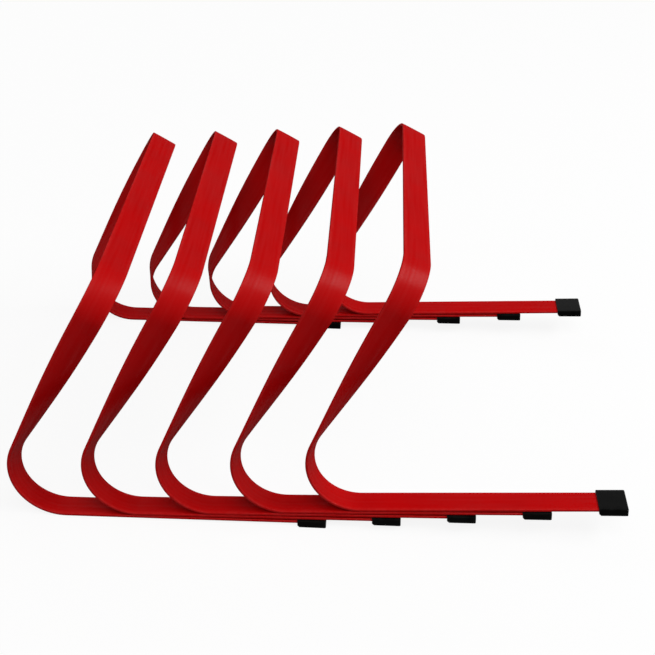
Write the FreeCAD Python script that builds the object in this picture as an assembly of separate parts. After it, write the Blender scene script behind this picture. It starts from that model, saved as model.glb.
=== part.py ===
import FreeCAD, Part
import math
import os

from FreeCAD import Placement, Rotation, Vector

# Nested set of speed hurdles. X runs along the feet towards their capped ends, Y along the
# crossbars, and Z is up. Lengths are in millimetres and angles in degrees.

# The set
hurdle_count = 5
nest_pitch = 85.0  # how far each hurdle stands ahead of the one it nests on
seat_gap = 0.3  # left where a hurdle lies on the one below

# The band, one strip of plastic bent and twisted hot
band_width = 33.0
band_thickness = 3.2
band_edge_bevel = 0.8
leg_spacing = 462.0  # between the centre lines of the two legs
bar_height = 300.0  # underside of the feet to the top edge of the crossbar
leg_lean = 60.5  # the legs' slope above the feet
rear_bend_radius = 58.0  # to the middle of the thickness
corner_bend_radius = 50.0  # to the middle of the thickness
foot_length = 292.0  # straight run from the rear bend to the cut end
twist_lead = 12.0  # run into the rear bend before the quarter twist starts

# The push-on caps
cap_grip = 24.0  # depth of the socket
cap_nose = 9.0  # solid end ahead of the socket
cap_roof = 1.7
cap_sole = 3.6
cap_side_wall = 2.6
cap_corner_radius = 5.0
cap_edge_bevel = 1.0
cap_heel_bevel = 2.4
cap_fit = 0.15  # clearance between socket and band

# Stations that shape the lofted part of the band
rear_bend_steps = 12
leg_steps = 10
corner_bend_steps = 9

# Values that follow from the sizes above. A hurdle's own origin is on the axis of its rear
# bends, midway between its legs.
lean = math.radians(leg_lean)
leg_rise = Vector(math.cos(lean), 0, math.sin(lean))
leg_back = Vector(-math.sin(lean), 0, math.cos(lean))
across = Vector(0, 1, 0)
outer_radius = rear_bend_radius + band_thickness / 2
bend_length = rear_bend_radius * (math.pi - lean)
corner_length = corner_bend_radius * math.pi / 2
bar_half_rise = (band_width * math.cos(lean) + band_thickness * math.sin(lean)) / 2
bar_level = bar_height - outer_radius - bar_half_rise
leg_length = (bar_level - rear_bend_radius * math.cos(lean)) / math.sin(lean) - corner_bend_radius
twist_end = bend_length + leg_length + corner_length
cap_rear = foot_length - cap_grip
cap_width = band_width + 2 * (cap_fit + cap_side_wall)


def floor_tilt():
    """Nose-up angle of a hurdle that stands on its rear bends and the soles of its caps."""
    drop = outer_radius + cap_fit + cap_sole
    reach = cap_rear + cap_heel_bevel
    return math.acos(outer_radius / math.hypot(drop, reach)) - math.atan2(reach, drop)


def nest_tilt():
    """Further nose-up angle of a hurdle that lies on the foot and the cap of the one below."""
    reach = cap_rear - nest_pitch
    rise = outer_radius - cap_fit - cap_roof
    return math.asin(outer_radius / math.hypot(reach, rise)) - math.atan2(rise, reach)


def strip_outline(centre, width_axis, face_axis, growth=0.0):
    """Closed outline of the strip's cross-section, a flat rectangle with bevelled edges."""
    half_width = band_width / 2 + growth
    half_thickness = band_thickness / 2 + growth
    quarter = [
        (half_width, half_thickness - band_edge_bevel),
        (half_width - band_edge_bevel, half_thickness),
    ]
    half = quarter + [(-w, f) for w, f in reversed(quarter)]
    corners = half + [(-w, -f) for w, f in half]
    points = [centre + width_axis * w + face_axis * f for w, f in corners]
    return Part.makePolygon(points + points[:1])


def twist_at(run):
    """Turn of the strip about its own line, eased from the foot to a quarter turn at the bar."""
    share = min(max((run - twist_lead) / (twist_end - twist_lead), 0), 1)
    return -math.pi / 2 * share * share * (3 - 2 * share)


def leg_station(run):
    """Centre, width direction and face direction at a run from the start of the rear bend."""
    leg_start = leg_back * rear_bend_radius
    if run < bend_length:
        turn = run / rear_bend_radius
        side = across
        back = Vector(-math.sin(turn), 0, -math.cos(turn))
        centre = back * rear_bend_radius
    elif run < bend_length + leg_length:
        side = across
        back = leg_back
        centre = leg_start + leg_rise * (run - bend_length)
    else:
        turn = (run - bend_length - leg_length) / corner_bend_radius
        side = across * math.cos(turn) - leg_rise * math.sin(turn)
        back = leg_back
        centre = leg_start + leg_rise * (leg_length + corner_bend_radius * math.sin(turn))
        centre += across * corner_bend_radius * (1 - math.cos(turn))
    twist = twist_at(run)
    width_axis = side * math.cos(twist) + back * math.sin(twist)
    face_axis = back * math.cos(twist) - side * math.sin(twist)
    return centre - across * leg_spacing / 2, width_axis, face_axis


def twisted_leg():
    """Rear bend, leaning leg and upper corner of one side, lofted through the turning cross-section."""
    runs = [bend_length * step / rear_bend_steps for step in range(rear_bend_steps)]
    runs += [bend_length + leg_length * step / leg_steps for step in range(leg_steps)]
    runs += [bend_length + leg_length + corner_length * step / corner_bend_steps
             for step in range(corner_bend_steps + 1)]
    return Part.makeLoft([strip_outline(*leg_station(run)) for run in runs], True, True)


def straight_run(station, reach):
    """Straight stretch of the strip that starts at a station and runs on by a vector."""
    return Part.Face(strip_outline(*station)).extrude(reach)


def hurdle_band():
    """The whole strip: two feet, two twisted legs and the crossbar between them."""
    foot = straight_run(leg_station(0), Vector(foot_length, 0, 0))
    leg = twisted_leg()
    bar = straight_run(leg_station(twist_end), across * (leg_spacing - 2 * corner_bend_radius))
    middle = Vector(0, 0, 0)
    sides = [piece.mirror(middle, across) for piece in (foot, leg)]
    return foot.fuse([leg, bar] + sides).removeSplitter()


def foot_cap():
    """Moulded boot for the end of a foot, with a sole that is level when the hurdle stands."""
    top = -rear_bend_radius + band_thickness / 2 + cap_fit + cap_roof
    heel = -outer_radius - cap_fit - cap_sole
    sole_start = cap_rear + cap_heel_bevel
    front = foot_length + cap_nose
    toe = heel - (front - sole_start) * math.tan(floor_tilt())
    profile = [
        Vector(cap_rear, -cap_width / 2, top),
        Vector(front, -cap_width / 2, top),
        Vector(front, -cap_width / 2, toe),
        Vector(sole_start, -cap_width / 2, heel),
        Vector(cap_rear, -cap_width / 2, heel + cap_heel_bevel),
    ]
    body = Part.Face(Part.makePolygon(profile + profile[:1])).extrude(across * cap_width)
    corners = [edge for edge in body.Edges if is_nose_corner(edge, front)]
    body = body.makeFillet(cap_corner_radius, corners)
    rims = [edge for edge in body.Edges if is_top_rim(edge, top)]
    body = body.makeChamfer(cap_edge_bevel, rims)
    mouth = Vector(cap_rear, 0, -rear_bend_radius)
    socket = Part.Face(strip_outline(mouth, across, Vector(0, 0, 1), cap_fit))
    return body.cut(socket.extrude(Vector(cap_grip + cap_fit, 0, 0)))


def is_nose_corner(edge, front):
    """True for the two upright edges at the tip of a cap."""
    ends = [vertex.Point for vertex in edge.Vertexes]
    at_front = all(abs(end.x - front) < cap_fit for end in ends)
    return at_front and abs(ends[0].y - ends[1].y) < cap_fit


def is_top_rim(edge, top):
    """True for the edges round a cap's upper face, other than the one over the socket's mouth."""
    box = edge.BoundBox
    return box.ZMin > top - cap_fit and box.XMax > cap_rear + cap_fit


def nest_places():
    """Where each hurdle's own origin goes, from the one on the floor upwards."""
    up = Vector(0, 0, 1)
    place = Placement(up * outer_radius, Rotation(across, -math.degrees(floor_tilt())))
    offset = Vector(nest_pitch, 0, band_thickness + seat_gap)
    step = Placement(offset, Rotation(across, -math.degrees(nest_tilt())))
    places = []
    for _ in range(hurdle_count):
        places.append(place)
        place = place * step
    return places


def place_piece(shape, place):
    """A copy of a piece, moved to its hurdle's place in the nest."""
    copy = shape.copy()
    copy.Placement = place
    return copy


def hurdle_set():
    """Every piece of the set by name."""
    band = hurdle_band()
    cap = foot_cap()
    pieces = {}
    for number, place in enumerate(nest_places(), start=1):
        pieces[f"hurdle_{number}_band"] = place_piece(band, place)
        for side, hand in (("left", 1), ("right", -1)):
            outwards = Placement(across * hand * leg_spacing / 2, Rotation())
            pieces[f"hurdle_{number}_{side}_cap"] = place_piece(cap, place * outwards)
    return pieces


def centre_on_floor(pieces):
    """Moves the set so that the origin is on the floor, under the middle of the set."""
    box = Part.makeCompound(list(pieces.values())).optimalBoundingBox()
    for shape in pieces.values():
        shape.translate(Vector(-box.Center.x, -box.Center.y, -box.ZMin))
    return pieces


os.makedirs("parts", exist_ok=True)
for name, shape in centre_on_floor(hurdle_set()).items():
    shape.exportStep(f"parts/{name}.step")
    print(name, "volume", round(shape.Volume), "valid", shape.isValid(), "solids", len(shape.Solids))
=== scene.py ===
import bpy
import bmesh
import math
from mathutils import Matrix, Vector


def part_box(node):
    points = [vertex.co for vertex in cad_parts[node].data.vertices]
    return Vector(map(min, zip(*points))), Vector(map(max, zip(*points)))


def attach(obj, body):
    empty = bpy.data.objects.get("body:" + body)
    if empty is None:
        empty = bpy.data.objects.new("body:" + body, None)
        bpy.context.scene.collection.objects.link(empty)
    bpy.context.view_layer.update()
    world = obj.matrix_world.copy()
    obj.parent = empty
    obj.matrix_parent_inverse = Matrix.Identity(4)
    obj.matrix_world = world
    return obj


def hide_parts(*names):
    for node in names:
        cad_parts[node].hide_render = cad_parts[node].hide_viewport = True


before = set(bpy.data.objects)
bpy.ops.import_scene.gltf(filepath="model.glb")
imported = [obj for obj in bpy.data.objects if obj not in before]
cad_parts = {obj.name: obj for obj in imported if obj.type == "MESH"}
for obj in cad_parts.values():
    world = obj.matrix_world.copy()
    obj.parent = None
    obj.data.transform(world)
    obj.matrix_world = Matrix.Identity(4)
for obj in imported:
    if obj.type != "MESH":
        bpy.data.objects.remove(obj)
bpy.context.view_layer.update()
scene = bpy.context.scene
scene.view_settings.view_transform = "Standard"
print("frame loaded with", len(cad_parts), "CAD nodes")

across = Vector((0, 1, 0))  # along the crossbars


def easeIn(share):
    share = min(max(share, 0.0), 1.0)
    return share * share * (3 - 2 * share)


def hump(share):
    # nothing at both ends of a bend, 1 in its middle
    return math.sin(math.pi * min(max(share, 0.0), 1.0))


def spread(start, end, steps):
    return [start + (end - start) * k / steps for k in range(steps)]


def bridgeRings(bm, rings):
    size = len(rings[0])
    for first, second in zip(rings, rings[1:]):
        for k in range(size):
            bm.faces.new((first[k], first[(k + 1) % size], second[(k + 1) % size], second[k]))


def finishMesh(bm, name):
    bmesh.ops.recalc_face_normals(bm, faces=bm.faces)
    mesh = bpy.data.meshes.new(name)
    bm.to_mesh(mesh)
    bm.free()
    mesh.shade_smooth()
    return mesh


# the flat strip that one hurdle is bent from, in metres
strip = {
    "width": 0.033,
    "thickness": 0.0032,
    "edgeRound": 0.0008,
    "legSpacing": 0.462,
    "barHeight": 0.300,
    "legLean": math.radians(60.5),
    "rearBend": 0.058,
    "cornerBend": 0.050,
    "footLength": 0.292,
    "twistLead": 0.012,  # run into the rear bend before the twist starts
    "cornerDish": 0.00030,  # the hot-bent corner pulls slightly hollow
    "rearStretchShare": 0.7,  # stretch of the plastic in the rear bend, where the corner has 1
    "edgeLoopShare": 0.975,  # last line of points on a flat face, from its middle
    "edgeWearAndHighlightShare": 0.80,  # where the edge wear and the painted highlight start on a flat face
    "roundSteps": 4,
    "faceSteps": 8,
    "steps": {"foot": 14, "rear": 44, "leg": 44, "corner": 36, "bar": 10},
}

# what follows from these sizes, with each run measured from the start of the rear bend
lean = strip["legLean"]
legRise = Vector((math.cos(lean), 0, math.sin(lean)))
legBack = Vector((-math.sin(lean), 0, math.cos(lean)))
outerRadius = strip["rearBend"] + strip["thickness"] / 2
barHalfRise = (strip["width"] * math.cos(lean) + strip["thickness"] * math.sin(lean)) / 2
barLevel = strip["barHeight"] - outerRadius - barHalfRise
legLength = (barLevel - strip["rearBend"] * math.cos(lean)) / math.sin(lean) - strip["cornerBend"]
cornerLength = strip["cornerBend"] * math.pi / 2
bendEnd = strip["rearBend"] * (math.pi - lean)
legEnd = bendEnd + legLength
twistEnd = legEnd + cornerLength
barMiddle = twistEnd + strip["legSpacing"] / 2 - strip["cornerBend"]


def stripStation(run):
    # centre, width direction and face direction of the strip
    legStart = legBack * strip["rearBend"]
    side, back = across, legBack
    if run < 0:
        back = Vector((0, 0, -1))
        centre = Vector((-run, 0, -strip["rearBend"]))
    elif run < bendEnd:
        turn = run / strip["rearBend"]
        back = Vector((-math.sin(turn), 0, -math.cos(turn)))
        centre = back * strip["rearBend"]
    elif run < legEnd:
        centre = legStart + legRise * (run - bendEnd)
    elif run < twistEnd:
        turn = (run - legEnd) / strip["cornerBend"]
        side = across * math.cos(turn) - legRise * math.sin(turn)
        centre = legStart + legRise * (legLength + strip["cornerBend"] * math.sin(turn))
        centre += across * strip["cornerBend"] * (1 - math.cos(turn))
    else:
        side = -legRise
        centre = legStart + legRise * (legLength + strip["cornerBend"])
        centre += across * (strip["cornerBend"] + run - twistEnd)
    # the quarter twist, eased from foot to bar
    twist = -math.pi / 2 * easeIn((run - strip["twistLead"]) / (twistEnd - strip["twistLead"]))
    widthAxis = side * math.cos(twist) + back * math.sin(twist)
    faceAxis = back * math.cos(twist) - side * math.sin(twist)
    return centre - across * strip["legSpacing"] / 2, widthAxis, faceAxis


def stripRuns():
    steps = strip["steps"]
    runs = spread(-strip["footLength"], 0, steps["foot"])
    runs += spread(0, bendEnd, steps["rear"])
    runs += spread(bendEnd, legEnd, steps["leg"])
    runs += spread(legEnd, twistEnd, steps["corner"])
    runs += spread(twistEnd, barMiddle, steps["bar"])
    return runs + [barMiddle]


def stripSection():
    # points round the strip as (width place, face place, edge share), with rounded edges
    r, steps = strip["edgeRound"], strip["faceSteps"]
    flat = strip["width"] / 2 - r
    halfThick = strip["thickness"] / 2
    lastLoop, wearAndHighlightStart = strip["edgeLoopShare"], strip["edgeWearAndHighlightShare"]
    faceShares = [lastLoop] + [1 - 2 * k / steps for k in range(1, steps)] + [-lastLoop]
    points = []
    for sideSign, faceSign, start in ((1, 1, 0), (-1, 1, 90), (-1, -1, 180), (1, -1, 270)):
        for k in range(strip["roundSteps"] + 1):
            turn = math.radians(start + 90 * k / strip["roundSteps"])
            w = sideSign * flat + r * math.cos(turn)
            f = faceSign * (halfThick - r) + r * math.sin(turn)
            points.append((w, f, 1.0))
        if sideSign == faceSign:  # a flat face follows this edge
            for share in faceShares:
                # edge wear and a painted highlight, growing towards the edge
                wearAndHighlight = easeIn((abs(share) - wearAndHighlightStart) / (1 - wearAndHighlightStart))
                points.append((sideSign * flat * share, faceSign * halfThick, wearAndHighlight))
    return points


def closeStripEnd(bm, ring):
    # quads from one face of the strip to the other, each between points at the same width place
    last = len(ring) - 1
    for k in range(len(ring) // 2 - 1):
        bm.faces.new((ring[k], ring[k + 1], ring[last - k - 1], ring[last - k]))


def stripMesh(name):
    # the near half, then the far half as its mirror image
    bm = bmesh.new()
    layers = {key: bm.verts.layers.float.new(key) for key in ("along", "across", "edge", "bend")}
    section = stripSection()
    runs = stripRuns()
    rings = []
    for run, hand in [(run, 1) for run in runs] + [(run, -1) for run in reversed(runs[:-1])]:
        centre, widthAxis, faceAxis = stripStation(run)
        rear = hump(run / bendEnd)
        corner = hump((run - legEnd) / cornerLength)
        ring = []
        for w, f, edge in section:
            hollow = strip["cornerDish"] * corner * (1 - (2 * w / strip["width"]) ** 2)
            point = centre + widthAxis * w + faceAxis * (f - hollow)
            point.y *= hand
            vert = bm.verts.new(point)
            vert[layers["along"]] = run if hand > 0 else 2 * barMiddle - run
            vert[layers["across"]] = w
            vert[layers["edge"]] = edge
            vert[layers["bend"]] = max(rear * strip["rearStretchShare"], corner)
            ring.append(vert)
        rings.append(ring)
    bridgeRings(bm, rings)
    closeStripEnd(bm, rings[0])
    closeStripEnd(bm, rings[-1])
    return finishMesh(bm, name)


# the push-on cap at the end of each foot, in metres
cap = {
    "grip": 0.024,  # depth of the socket
    "nose": 0.009,
    "roof": 0.0017,
    "sole": 0.0036,
    "sideWall": 0.0026,
    "fit": 0.00015,
    "heelBevel": 0.0024,
    "cornerRound": 0.0018,
    "topRound": 0.0011,
    "soleRound": 0.0006,
    "lipRound": 0.0004,  # outer edge of the mouth
    "lipLoopShare": 0.35,
    "heelLoops": (-0.0006, -0.0002, 0.0002, 0.0006),  # lines of points beside the heel's corner
    "wallStart": 0.002,  # from the heel's corner to the plain wall
    "socketRound": 0.0009,
    "mouthFlare": 0.0003,
    "mouthRound": 0.0011,
    "mouthWear": 0.0008,  # reach of the wear from the mouth, the nose and into the socket
    "noseWear": 0.0012,
    "socketWear": 0.006,
    "rimWearAndHighlight": 0.00176,  # and of the wear and the painted highlight from the long edges of the top
    "crease": math.radians(50),
    "roundSteps": 5,
    "topSteps": 8,
    "sideSteps": 3,
    "wallSteps": 6,
    "noseSteps": 9,
}

# planes of a cap, in its hurdle's own frame
capRear = strip["footLength"] - cap["grip"]
capFront = strip["footLength"] + cap["nose"]
capTop = -strip["rearBend"] + strip["thickness"] / 2 + cap["fit"] + cap["roof"]
capHeel = -outerRadius - cap["fit"] - cap["sole"]
capHalfWidth = strip["width"] / 2 + cap["fit"] + cap["sideWall"]
soleStart = capRear + cap["heelBevel"]


def floorTilt():
    # nose-up angle of a hurdle that stands on its rear bends and the soles of its caps
    return math.acos(outerRadius / math.hypot(capHeel, soleStart)) - math.atan2(soleStart, -capHeel)


def roundedLoop(halfWidth, top, bottom, topRound, bottomRound):
    # points (y, z) round a cap's cross-section, the same count whatever the size
    corners = ((1, top, -1, topRound, 0), (-1, top, -1, topRound, 90),
               (-1, bottom, 1, bottomRound, 180), (1, bottom, 1, bottomRound, 270))
    arcs = []
    for sideSign, level, inward, r, start in corners:
        turns = [math.radians(start + 90 * k / cap["roundSteps"]) for k in range(cap["roundSteps"] + 1)]
        centreY, centreZ = sideSign * (halfWidth - r), level + inward * r
        arcs.append([(centreY + r * math.cos(turn), centreZ + r * math.sin(turn)) for turn in turns])
    sides = (cap["topSteps"], cap["sideSteps"]) * 2
    points = []
    for arc, following, steps in zip(arcs, arcs[1:] + arcs[:1], sides):
        (y, z), (endY, endZ) = arc[-1], following[0]
        points += arc
        points += [(y + (endY - y) * k / steps, z + (endZ - z) * k / steps) for k in range(1, steps)]
    return points


def capBottom(x):
    if x < soleStart:
        return capHeel + (soleStart - x)
    return capHeel - (x - soleStart) * math.tan(floorTilt())


def inset(x, end, r):
    # how far an edge of radius r has turned in, r before its end
    reach = min(max(x - (end - r), 0.0), r)
    return r - math.sqrt(r * r - reach * reach)


def capOutside():
    # rings of (x, loop, wear) from the mouth to the nose
    lip, corner = cap["lipRound"], cap["cornerRound"]
    noseTurns = [math.pi / 2 * k / cap["noseSteps"] for k in range(cap["noseSteps"] + 1)]
    places = [capRear, capRear + lip * cap["lipLoopShare"], capRear + lip]
    places += [soleStart + offset for offset in cap["heelLoops"]]
    places += spread(soleStart + cap["wallStart"], capFront - corner, cap["wallSteps"])
    places += [capFront - corner + corner * math.sin(turn) for turn in noseTurns]
    rings = []
    for x in places:
        turnIn = inset(-x, -capRear, lip)
        side = capHalfWidth - inset(x, capFront, corner) - turnIn
        upper = capTop - inset(x, capFront, cap["topRound"]) - turnIn
        lower = capBottom(x) + inset(x, capFront, cap["soleRound"]) + turnIn
        loop = roundedLoop(side, upper, lower, cap["topRound"], cap["soleRound"])
        atEnd = x < capRear + cap["mouthWear"] or x > capFront - cap["noseWear"]
        rings.append((x, loop, float(atEnd)))
    return rings


def socketLoop(growth, r):
    halfWidth = strip["width"] / 2 + cap["fit"] + growth
    halfThick = strip["thickness"] / 2 + cap["fit"] + growth
    return roundedLoop(halfWidth, halfThick - strip["rearBend"], -halfThick - strip["rearBend"], r, r)


def capSocket():
    # rings of (x, loop, wear) from the mouth inwards
    mouth = socketLoop(cap["mouthFlare"], cap["mouthRound"])
    bore = socketLoop(0.0, cap["socketRound"])
    return [(capRear, mouth, 1.0), (capRear + cap["mouthFlare"], bore, 1.0),
            (capRear + cap["socketWear"], bore, 0.0), (capRear + cap["grip"] + cap["fit"], bore, 0.0)]


def closeCapEnd(bm, ring, rimLayer):
    # triangles round a middle point, which is worn as the ring is
    middle = bm.verts.new(sum((vert.co for vert in ring), Vector()) / len(ring))
    middle[rimLayer] = ring[0][rimLayer]
    for first, second in zip(ring, ring[1:] + ring[:1]):
        bm.faces.new((first, second, middle))


def capMesh(name):
    bm = bmesh.new()
    rimLayer = bm.verts.layers.float.new("rim")
    rings = []
    for x, loop, atEnd in list(reversed(capSocket())) + capOutside():
        ring = []
        for y, z in loop:
            # lighter along the long edges of the top: wear and a painted highlight
            nearTop = easeIn(1 - (capTop - z) / cap["rimWearAndHighlight"])
            nearSide = easeIn(1 - (capHalfWidth - abs(y)) / cap["rimWearAndHighlight"])
            vert = bm.verts.new((x, y, z))
            vert[rimLayer] = max(atEnd, nearTop * nearSide)
            ring.append(vert)
        rings.append(ring)
    bridgeRings(bm, rings)
    closeCapEnd(bm, rings[0], rimLayer)
    closeCapEnd(bm, rings[-1], rimLayer)
    mesh = finishMesh(bm, name)
    mesh.set_sharp_from_angle(angle=cap["crease"])
    return mesh


# node helpers for the materials

def newMaterial(name):
    material = bpy.data.materials.new(name)
    material.use_nodes = True
    material.node_tree.nodes.clear()
    return material, material.node_tree


def addNode(tree, kind, settings=None, values=None):
    node = tree.nodes.new(kind)
    for key, value in (settings or {}).items():
        setattr(node, key, value)
    for key, value in (values or {}).items():
        if isinstance(value, bpy.types.NodeSocket):
            tree.links.new(value, node.inputs[key])
        else:
            node.inputs[key].default_value = value
    return node


def attribute(tree, name):
    return addNode(tree, "ShaderNodeAttribute", {"attribute_name": name}).outputs["Fac"]


def maths(tree, operation, first, second):
    return addNode(tree, "ShaderNodeMath", {"operation": operation}, {0: first, 1: second}).outputs[0]


def times(tree, first, second):
    return maths(tree, "MULTIPLY", first, second)


def ramp(tree, value, band, span=(0.0, 1.0)):
    # a value's band stretched to a span, and held at its ends
    limits = {"From Min": band[0], "From Max": band[1], "To Min": span[0], "To Max": span[1]}
    return addNode(tree, "ShaderNodeMapRange", {"clamp": True}, {"Value": value, **limits}).outputs["Result"]


def mixColour(tree, amount, first, second):
    # the node's colour inputs are 6 and 7, and its colour output is 2
    return addNode(tree, "ShaderNodeMix", {"data_type": "RGBA"}, {0: amount, 6: first, 7: second}).outputs[2]


def noise(tree, place, scale, detail, rough=0.5):
    values = {"Vector": place, "Scale": scale, "Detail": detail, "Roughness": rough}
    return addNode(tree, "ShaderNodeTexNoise", None, values).outputs["Fac"]


def stripNoise(tree, scales, detail, rough=0.5):
    # noise laid along and across the strip, so that it follows the bends
    run = times(tree, attribute(tree, "along"), scales[0])
    width = times(tree, attribute(tree, "across"), scales[1])
    place = addNode(tree, "ShaderNodeCombineXYZ", None, {"X": run, "Y": width}).outputs[0]
    return noise(tree, place, 1.0, detail, rough)


def bump(tree, height, strength, depth, under=None):
    values = {"Height": height, "Strength": strength, "Distance": depth}
    if under is not None:
        values["Normal"] = under
    return addNode(tree, "ShaderNodeBump", None, values).outputs[0]


def showSurface(tree, values):
    shader = addNode(tree, "ShaderNodeBsdfPrincipled", None, values)
    output = addNode(tree, "ShaderNodeOutputMaterial")
    tree.links.new(shader.outputs[0], output.inputs["Surface"])


# a pair of scales is for along and across the strip
redFinish = {
    "colour": (0.500, 0.0022, 0.0028, 1),
    "deep": (0.455, 0.0016, 0.0022, 1),
    # paler red for the stretched bends, for wear, and for the painted highlight along the edges
    "paler": (0.580, 0.0180, 0.0170, 1),
    "cloudScale": 22.0,  # slow change of colour and gloss
    "cloudBand": (0.35, 0.68),
    "glossBand": (0.3, 0.7),
    "roughSpan": (0.18, 0.27),
    "specular": 0.0,
    "glazeSpan": (0.046, 0.030),  # the thin gloss that shows the softbox at the corners
    "glazeIndex": 2.2,
    "glazeRough": 0.31,
    "streakScale": (9.0, 240.0),  # the gloss comes and goes in streaks
    "streakBand": (0.28, 0.72),
    "streakSpan": (0.40, 1.60),
    "dieScale": (5.0, 1300.0),  # long fine lines from the die
    "dieStrength": 0.35,
    "dieDepth": 0.00002,
    "dieRough": 0.05,
    "peelScale": 900.0,
    "peelStrength": 0.30,
    "peelDepth": 0.00002,
    "rubScale": (60.0, 900.0),  # short scuffs
    "rubBand": (0.63, 0.80),
    "rubWear": 0.16,
    "rubRough": 0.12,
    # the edges are paler by wear and by a painted highlight along them
    "edgeScale": (160.0, 160.0),
    "edgeBand": (0.35, 0.70),
    "edgeSpan": (0.15, 0.75),
    "edgeWearAndHighlight": 0.55,
    "bendWear": 0.10,  # stretched plastic is a little paler
}


def redStrip():
    finish = redFinish
    material, tree = newMaterial("redStrip")
    solid = addNode(tree, "ShaderNodeTexCoord").outputs["Object"]
    clouds = noise(tree, solid, finish["cloudScale"], detail=4.0)
    peel = noise(tree, solid, finish["peelScale"], detail=2.0)
    lines = stripNoise(tree, finish["dieScale"], detail=2.0)
    rub = ramp(tree, stripNoise(tree, finish["rubScale"], detail=5.0, rough=0.6), finish["rubBand"])
    streaks = stripNoise(tree, finish["streakScale"], detail=3.0)
    edgeNoise = stripNoise(tree, finish["edgeScale"], detail=4.0)
    # colour, paler where the strip is stretched or rubbed, and at its edges by wear and a painted highlight
    base = mixColour(tree, ramp(tree, clouds, finish["cloudBand"]), finish["deep"], finish["colour"])
    stretch = times(tree, attribute(tree, "bend"), finish["bendWear"])
    stretched = mixColour(tree, stretch, base, finish["paler"])
    edge = times(tree, attribute(tree, "edge"), ramp(tree, edgeNoise, finish["edgeBand"], finish["edgeSpan"]))
    edgeWearAndHighlight = times(tree, edge, finish["edgeWearAndHighlight"])
    wearAndHighlight = maths(tree, "MAXIMUM", edgeWearAndHighlight, times(tree, rub, finish["rubWear"]))
    colour = mixColour(tree, wearAndHighlight, stretched, finish["paler"])
    # gloss, duller in the scuffs and along the die lines
    dull = maths(tree, "ADD", times(tree, rub, finish["rubRough"]), times(tree, lines, finish["dieRough"]))
    roughness = maths(tree, "ADD", ramp(tree, clouds, finish["glossBand"], finish["roughSpan"]), dull)
    glaze = times(tree, ramp(tree, streaks, finish["streakBand"], finish["streakSpan"]),
                  ramp(tree, clouds, finish["glossBand"], finish["glazeSpan"]))
    drawn = bump(tree, lines, finish["dieStrength"], finish["dieDepth"])
    surface = bump(tree, peel, finish["peelStrength"], finish["peelDepth"], drawn)
    showSurface(tree, {"Base Color": colour, "Roughness": roughness, "Normal": surface,
                       "Specular IOR Level": finish["specular"], "Coat Weight": glaze,
                       "Coat Roughness": finish["glazeRough"], "Coat IOR": finish["glazeIndex"],
                       "Coat Normal": surface})
    return material


blackFinish = {
    "colour": (0.0022, 0.0022, 0.0021, 1),
    "grey": (0.0040, 0.0040, 0.0038, 1),
    # greyer black for wear, and for the painted highlight along the long edges of the top
    "paler": (0.0160, 0.0160, 0.0154, 1),
    "cloudScale": 70.0,
    "cloudBand": (0.35, 0.68),
    "glossBand": (0.3, 0.7),
    "roughSpan": (0.36, 0.50),
    "specular": 0.040,
    "headOn": (0.02, 0.02, 0.02, 1),  # almost no shine seen square on, more along the surface
    "grainScale": 1500.0,
    "grainStrength": 0.45,
    "grainDepth": 0.00005,
    "scuffScale": 380.0,
    "scuffBand": (0.60, 0.78),
    "scuffWear": 0.22,
    "scuffRough": 0.10,
    "rimBand": (0.35, 0.70),
    "rimSpan": (0.10, 0.55),
}


def blackCap():
    finish = blackFinish
    material, tree = newMaterial("blackCap")
    solid = addNode(tree, "ShaderNodeTexCoord").outputs["Object"]
    clouds = noise(tree, solid, finish["cloudScale"], detail=4.0)
    grain = noise(tree, solid, finish["grainScale"], detail=3.0, rough=0.6)
    scuff = ramp(tree, noise(tree, solid, finish["scuffScale"], detail=5.0, rough=0.65), finish["scuffBand"])
    # colour, greyer in the scuffs and at the rims: wear at the mouth and the nose, wear and a painted
    # highlight along the long edges of the top
    rim = times(tree, attribute(tree, "rim"), ramp(tree, clouds, finish["rimBand"], finish["rimSpan"]))
    wearAndHighlight = maths(tree, "MAXIMUM", rim, times(tree, scuff, finish["scuffWear"]))
    base = mixColour(tree, ramp(tree, clouds, finish["cloudBand"]), finish["colour"], finish["grey"])
    colour = mixColour(tree, wearAndHighlight, base, finish["paler"])
    roughness = maths(tree, "ADD", ramp(tree, clouds, finish["glossBand"], finish["roughSpan"]),
                      times(tree, scuff, finish["scuffRough"]))
    surface = bump(tree, grain, finish["grainStrength"], finish["grainDepth"])
    showSurface(tree, {"Base Color": colour, "Roughness": roughness, "Normal": surface,
                       "Specular IOR Level": finish["specular"], "Specular Tint": finish["headOn"]})
    return material


redMaterial, blackMaterial = redStrip(), blackCap()
print("red and black finishes made")

# the nest, in metres
nest = {
    "count": 5,
    "step": 0.085,  # each hurdle ahead of the one below
    "seatGap": 0.0003,
    "lowestCap": "hurdle_1_left_cap",  # its tip places the lowest hurdle
}


def nestTilt():
    # further nose-up angle of a hurdle that lies on the foot and the cap of the one below
    reach = capRear - nest["step"]
    rise = outerRadius - cap["fit"] - cap["roof"]
    return math.asin(outerRadius / math.hypot(reach, rise)) - math.atan2(rise, reach)


def noseUp(angle):
    return Matrix.Rotation(-angle, 4, "Y")


def nestPlaces():
    # a hurdle's own origin is on the axis of its rear bends, midway between its legs
    lowest = noseUp(floorTilt())
    toe = lowest @ Vector((capFront, 0, capBottom(capFront)))
    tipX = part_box(nest["lowestCap"])[1][0]
    place = Matrix.Translation((tipX - toe.x, 0, outerRadius)) @ lowest
    rise = strip["thickness"] + nest["seatGap"]
    stepOn = Matrix.Translation((nest["step"], 0, rise)) @ noseUp(nestTilt())
    places = []
    for _ in range(nest["count"]):
        places.append(place.copy())
        place = place @ stepOn
    return places


def dress(mesh, material, name, body, node):
    piece = bpy.data.objects.new(name, mesh)
    scene.collection.objects.link(piece)
    mesh.materials.append(material)
    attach(piece, body)
    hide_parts(node)


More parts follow.
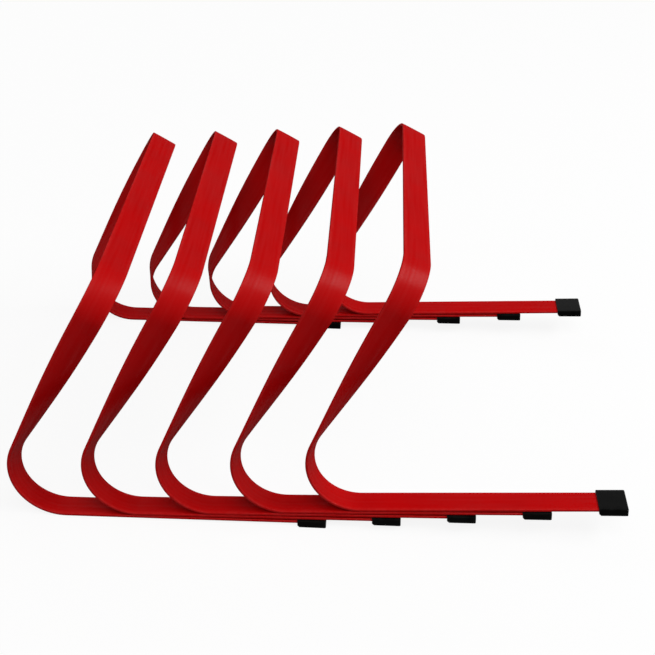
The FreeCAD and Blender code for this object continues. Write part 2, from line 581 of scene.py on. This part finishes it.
for number, place in enumerate(nestPlaces(), start=1):
    body = f"hurdle_{number}"
    band = stripMesh(f"strip_{number}")
    band.transform(place)
    dress(band, redMaterial, f"strip_{number}", body, f"{body}_band")
    for sideName, hand in (("left", 1), ("right", -1)):
        boot = capMesh(f"cap_{number}_{sideName}")
        boot.transform(place @ Matrix.Translation(across * hand * strip["legSpacing"] / 2))
        dress(boot, blackMaterial, f"cap_{number}_{sideName}", body, f"{body}_{sideName}_cap")
print("strips and caps made for", nest["count"], "hurdles")

# the studio
studio = {
    "floorSize": 60.0,
    "floorColour": (0.97, 0.97, 0.97, 1),
    "floorBounce": (0.16, 0.16, 0.16, 1),  # what the floor throws back up at the object
    "floorWhite": 0.88,  # share of plain white that the lens sees in the floor
    "worldLevel": 0.17,  # soft light from all round, the lens sees white there
    "ceiling": {"from": (0.08, -0.55, 0.83), "angle": math.radians(45), "level": 1.35},
    "softboxes": {
        "rightSoftbox": {"place": (2.76, -0.44, 2.87), "aim": (0.05, -0.10, 0.20),
                         "size": (2.6, 1.1), "power": 78.0},
        "leftFill": {"place": (-3.20, -1.20, 1.80), "aim": (-0.05, 0.0, 0.15),
                     "size": (2.0, 2.0), "power": 2.4},
        "backFill": {"place": (-2.40, 2.80, 2.20), "aim": (0.0, 0.0, 0.15),
                     "size": (2.0, 2.0), "power": 18.0},
    },
}


def seenByLens(tree):
    # camera, glossy and transmission rays
    path = addNode(tree, "ShaderNodeLightPath")
    glossy = maths(tree, "MAXIMUM", path.outputs["Is Camera Ray"], path.outputs["Is Glossy Ray"])
    return maths(tree, "MAXIMUM", glossy, path.outputs["Is Transmission Ray"])


def floorMaterial():
    material, tree = newMaterial("paleFloor")
    output = addNode(tree, "ShaderNodeOutputMaterial")
    lens = seenByLens(tree)
    colour = mixColour(tree, lens, studio["floorBounce"], studio["floorColour"])
    matt = addNode(tree, "ShaderNodeBsdfDiffuse", None, {"Color": colour})
    white = addNode(tree, "ShaderNodeEmission", None, {"Color": (1, 1, 1, 1), "Strength": 1.0})
    share = times(tree, lens, studio["floorWhite"])
    blend = addNode(tree, "ShaderNodeMixShader", None, {0: share, 1: matt.outputs[0], 2: white.outputs[0]})
    tree.links.new(blend.outputs[0], output.inputs["Surface"])
    return material


def makeFloor():
    half = studio["floorSize"] / 2
    corners = [(-half, -half, 0), (half, -half, 0), (half, half, 0), (-half, half, 0)]
    mesh = bpy.data.meshes.new("floor")
    mesh.from_pydata(corners, [], [(0, 1, 2, 3)])
    mesh.materials.append(floorMaterial())
    floor = bpy.data.objects.new("floor", mesh)
    scene.collection.objects.link(floor)


def makeWorld():
    world = bpy.data.worlds.new("studioWorld")
    world.use_nodes = True
    tree = world.node_tree
    tree.nodes.clear()
    output = addNode(tree, "ShaderNodeOutputWorld")
    level = ramp(tree, seenByLens(tree), (0.0, 1.0), (studio["worldLevel"], 1.0))
    background = addNode(tree, "ShaderNodeBackground", None, {"Color": (1, 1, 1, 1), "Strength": level})
    tree.links.new(background.outputs[0], output.inputs["Surface"])
    scene.world = world


def aimLamp(name, light, place, aim):
    lamp = bpy.data.objects.new(name, light)
    lamp.location = place
    lamp.rotation_euler = (Vector(aim) - Vector(place)).to_track_quat("-Z", "Y").to_euler()
    scene.collection.objects.link(lamp)


def makeLamps():
    # a broad even ceiling, and softboxes for the sheen on the bends
    ceiling = bpy.data.lights.new("ceiling", "SUN")
    ceiling.angle = studio["ceiling"]["angle"]
    ceiling.energy = studio["ceiling"]["level"]
    aimLamp("ceiling", ceiling, studio["ceiling"]["from"], (0, 0, 0))
    for name, box in studio["softboxes"].items():
        light = bpy.data.lights.new(name, "AREA")
        light.shape = "RECTANGLE"
        light.size, light.size_y = box["size"]
        light.energy = box["power"]
        aimLamp(name, light, box["place"], box["aim"])


makeFloor()
makeWorld()
makeLamps()
print("floor, world and", len(studio["softboxes"]) + 1, "lamps set")

# the camera, from a fit of the nest to the photograph
view = {
    "place": (0.0494, -1.4949, 0.9785),
    "pitch": math.radians(29.766),
    "yaw": math.radians(-1.914),
    "roll": math.radians(1.331),
    "focalPixels": 1362.56,
    "imageWidth": 655,
    "sensor": 36.0,
    "clip": (0.01, 50.0),
}


def makeCamera():
    lens = bpy.data.cameras.new("photoLens")
    lens.sensor_width = view["sensor"]
    lens.lens = view["focalPixels"] * view["sensor"] / view["imageWidth"]
    lens.clip_start, lens.clip_end = view["clip"]
    pitch, yaw, roll = view["pitch"], view["yaw"], view["roll"]
    level = Vector((math.sin(yaw), math.cos(yaw), 0))
    forward = level * math.cos(pitch) + Vector((0, 0, -math.sin(pitch)))
    right = Vector((math.cos(yaw), -math.sin(yaw), 0))
    up = right.cross(forward)
    rightRolled = right * math.cos(roll) + up * math.sin(roll)
    upRolled = up * math.cos(roll) - right * math.sin(roll)
    turn = Matrix((rightRolled, upRolled, -forward)).transposed()
    camera = bpy.data.objects.new("photoCamera", lens)
    camera.matrix_world = Matrix.Translation(view["place"]) @ turn.to_4x4()
    scene.collection.objects.link(camera)
    scene.camera = camera


makeCamera()
